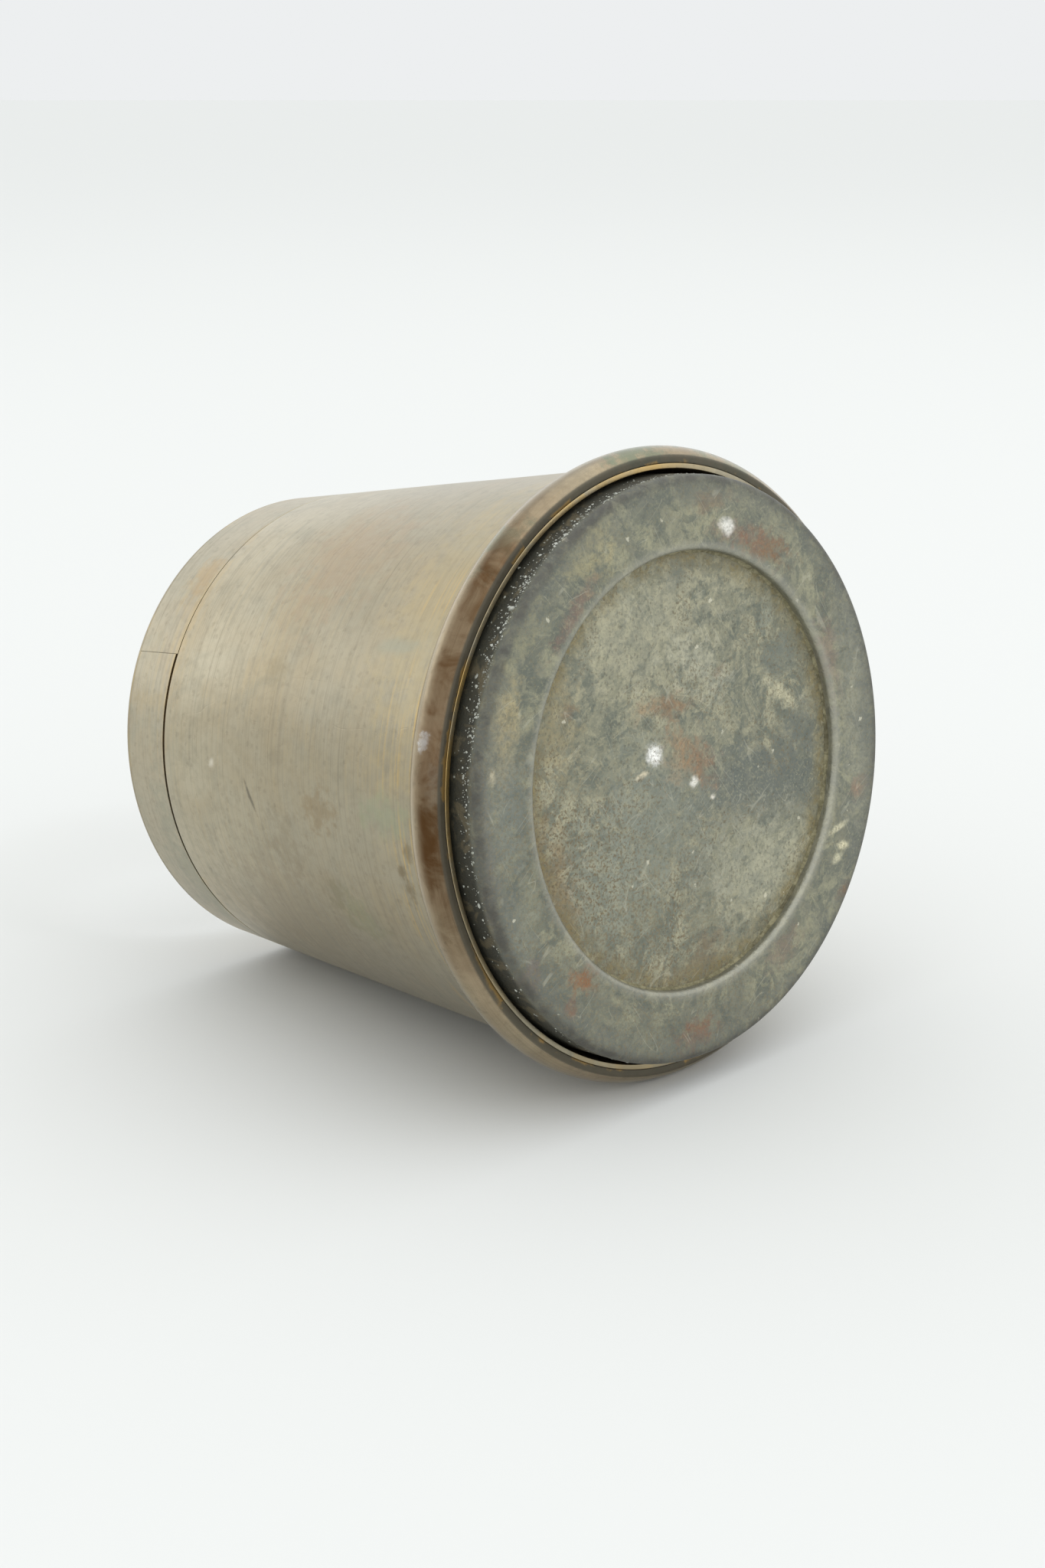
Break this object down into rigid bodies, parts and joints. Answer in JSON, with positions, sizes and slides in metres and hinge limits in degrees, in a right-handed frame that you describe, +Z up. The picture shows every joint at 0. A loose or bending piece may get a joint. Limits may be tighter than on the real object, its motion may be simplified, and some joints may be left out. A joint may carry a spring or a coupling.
{
  "type": "needle case",
  "caption": "Round tapered brass needle case with a stepped foot, a half-round moulding and a flush slip-on lid over an inner collar.",
  "frame": {"origin": "centre of the foot's resting face", "axes": "+Z up the case's axis towards the lid, +Y the side it lies on when it is laid down"},
  "size_m": [0.076, 0.076, 0.0733],
  "materials": {
    "body_brass": "brushed, warm grey-tan tarnish",
    "moulding_brass": "smooth, copper-brown tarnish, bright on its edges",
    "foot_brass": "dark grey-green patina with rust spots",
    "panel_brass": "mottled grey-olive patina, pitted",
    "collar_brass": "satin, little tarnished because the lid covers it",
    "lid_brass": "brushed, grey-tan tarnish",
    "wool": "thick felt"
  },
  "bodies": {
    "case": {"body_wall": "body_brass", "base_moulding": "moulding_brass", "foot_ring": "foot_brass", "base_disc": "panel_brass", "neck_collar": "collar_brass", "needle_pad": "wool"},
    "lid": {"lid_band": "lid_brass", "lid_top": "lid_brass"}
  },
  "joints": [
    {"name": "lid_lift", "type": "slide", "parent": "case", "child": "lid", "axis": [0, 0, 1], "range_m": [0, 0.04]}
  ]
}
